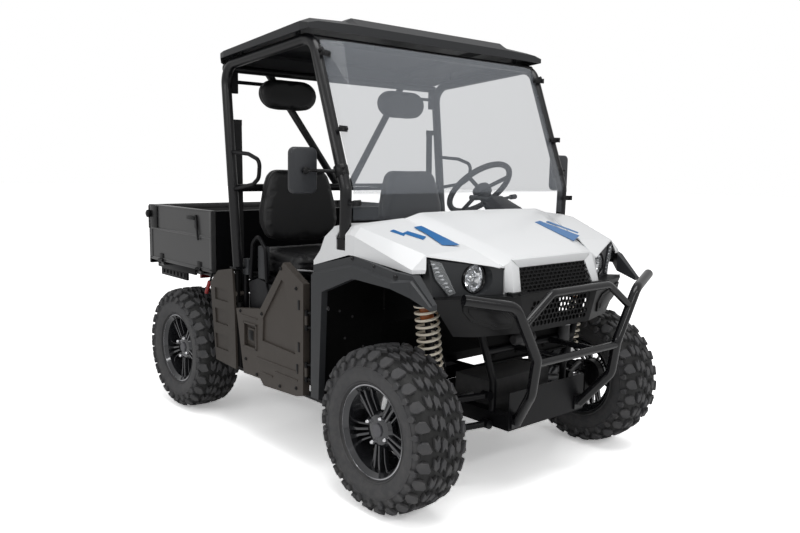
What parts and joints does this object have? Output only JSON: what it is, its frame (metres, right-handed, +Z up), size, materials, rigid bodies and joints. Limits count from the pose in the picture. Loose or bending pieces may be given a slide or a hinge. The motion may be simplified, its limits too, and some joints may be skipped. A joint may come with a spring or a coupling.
{
  "type": "side by side utility vehicle",
  "caption": "Open-cab side by side utility vehicle with steering wheels, opening doors and hood, and a tipping bed with drop sides and tailgate.",
  "frame": {"origin": "on the ground, under the middle of the overall length and width", "axes": "+Z up, -Y forward, +X the vehicle's left"},
  "size_m": [1.78, 2.5859, 1.976],
  "materials": {
    "tyre": "matte",
    "gloss_black_rim": "gloss",
    "frame_black": "satin",
    "tube_gloss_black": "gloss",
    "spring_cream": "satin",
    "black_plastic": "matte",
    "lamp_clear": "gloss",
    "white_plastic": "gloss",
    "dark_grey_plastic": "satin",
    "brown_grey_plastic": "matte",
    "seat_black": "satin",
    "belt_black": "matte",
    "pane_clear": "gloss",
    "bed_grey": "satin",
    "block_grey": "matte",
    "lamp_red": "gloss"
  },
  "bodies": {
    "chassis": {"battery": "block_grey", "bolster_loops": "frame_black", "bull_bar": "tube_gloss_black", "dash": "black_plastic", "drive_units": "block_grey", "flares": "dark_grey_plastic", "floor_tub": "black_plastic", "front_fascia": "black_plastic", "front_subframe": "frame_black", "grilles": "black_plastic", "half_shafts": "frame_black", "headlamps": "lamp_clear", "headrest_arms": "frame_black", "headrest_left": "seat_black", "headrest_right": "seat_black", "hinge_lugs": "frame_black", "hitch": "frame_black", "inner_fenders": "black_plastic", "lamp_housings": "black_plastic", "main_frame": "frame_black", "mirrors": "black_plastic", "quarter_panels": "brown_grey_plastic", "rear_carriers": "frame_black", "rear_subframe": "frame_black", "roof": "dark_grey_plastic", "rops_brace": "frame_black", "rops_header": "frame_black", "rops_left": "frame_black", "rops_right": "frame_black", "seat_back_left": "seat_black", "seat_back_right": "seat_black", "seat_base": "black_plastic", "seat_belts": "belt_black", "seat_cushion_left": "seat_black", "seat_cushion_right": "seat_black", "shocks": "spring_cream", "side_panels": "white_plastic", "skid_plate": "frame_black", "steering_column": "frame_black", "suspension_arms": "frame_black", "tail_lamps": "lamp_red", "windshield": "pane_clear"},
    "knuckle_left": {"knuckle_left": "frame_black"},
    "knuckle_right": {"knuckle_right": "frame_black"},
    "wheel_front_left": {"tyre_front_left": "tyre", "rim_front_left": "gloss_black_rim"},
    "wheel_front_right": {"tyre_front_right": "tyre", "rim_front_right": "gloss_black_rim"},
    "wheel_rear_left": {"tyre_rear_left": "tyre", "rim_rear_left": "gloss_black_rim"},
    "wheel_rear_right": {"tyre_rear_right": "tyre", "rim_rear_right": "gloss_black_rim"},
    "steering": {"steering_wheel": "black_plastic"},
    "door_left": {"door_left": "brown_grey_plastic"},
    "door_right": {"door_right": "brown_grey_plastic"},
    "hood": {"hood": "white_plastic"},
    "bed": {"bed_floor": "bed_grey"},
    "bed_side_left": {"bed_side_left": "bed_grey"},
    "bed_side_right": {"bed_side_right": "bed_grey"},
    "tailgate": {"tailgate": "bed_grey"}
  },
  "joints": [
    {"name": "steer_left", "type": "hinge", "parent": "chassis", "child": "knuckle_left", "pos_m": [0.575, -0.872, 0.33], "axis": [0, 0, 1], "range_deg": [-28, 28]},
    {"name": "wheel_front_left_spin", "type": "hinge", "parent": "knuckle_left", "child": "wheel_front_left", "pos_m": [0.66, -0.872, 0.33], "axis": [1, 0, 0], "continuous": true},
    {"name": "wheel_rear_left_spin", "type": "hinge", "parent": "chassis", "child": "wheel_rear_left", "pos_m": [0.635, 0.848, 0.33], "axis": [1, 0, 0], "continuous": true},
    {"name": "door_left_hinge", "type": "hinge", "parent": "chassis", "child": "door_left", "pos_m": [0.712, -0.365, 0.6], "axis": [0, 0, -1], "range_deg": [0, 75]},
    {"name": "bed_side_left_hinge", "type": "hinge", "parent": "bed", "child": "bed_side_left", "pos_m": [0.683, 0.898, 0.763], "axis": [0, 1, 0], "range_deg": [0, 90]},
    {"name": "steer_right", "type": "hinge", "parent": "chassis", "child": "knuckle_right", "pos_m": [-0.575, -0.872, 0.33], "axis": [0, 0, 1], "range_deg": [-28, 28]},
    {"name": "wheel_front_right_spin", "type": "hinge", "parent": "knuckle_right", "child": "wheel_front_right", "pos_m": [-0.66, -0.872, 0.33], "axis": [1, 0, 0], "continuous": true},
    {"name": "wheel_rear_right_spin", "type": "hinge", "parent": "chassis", "child": "wheel_rear_right", "pos_m": [-0.635, 0.848, 0.33], "axis": [1, 0, 0], "continuous": true},
    {"name": "door_right_hinge", "type": "hinge", "parent": "chassis", "child": "door_right", "pos_m": [-0.712, -0.365, 0.6], "axis": [0, 0, 1], "range_deg": [0, 75]},
    {"name": "bed_side_right_hinge", "type": "hinge", "parent": "bed", "child": "bed_side_right", "pos_m": [-0.683, 0.898, 0.763], "axis": [0, -1, 0], "range_deg": [0, 90]},
    {"name": "steering_wheel_turn", "type": "hinge", "parent": "chassis", "child": "steering", "pos_m": [0.38, -0.342, 1.24], "axis": [0, 0.7071, 0.7071], "range_deg": [-182, 182]},
    {"name": "hood_hinge", "type": "hinge", "parent": "chassis", "child": "hood", "pos_m": [0, -0.7, 1.13], "axis": [-1, 0, 0], "range_deg": [0, 50]},
    {"name": "bed_tip", "type": "hinge", "parent": "chassis", "child": "bed", "pos_m": [0, 1.233, 0.69], "axis": [-1, 0, 0], "range_deg": [0, 45]},
    {"name": "tailgate_hinge", "type": "hinge", "parent": "bed", "child": "tailgate", "pos_m": [0, 1.286, 0.763], "axis": [-1, 0, 0], "range_deg": [0, 90]}
  ],
  "couplings": [
    {"joint": "steer_left", "follows": "steer_right", "ratio": 1},
    {"joint": "steering_wheel_turn", "follows": "steer_right", "ratio": 6.5}
  ]
}
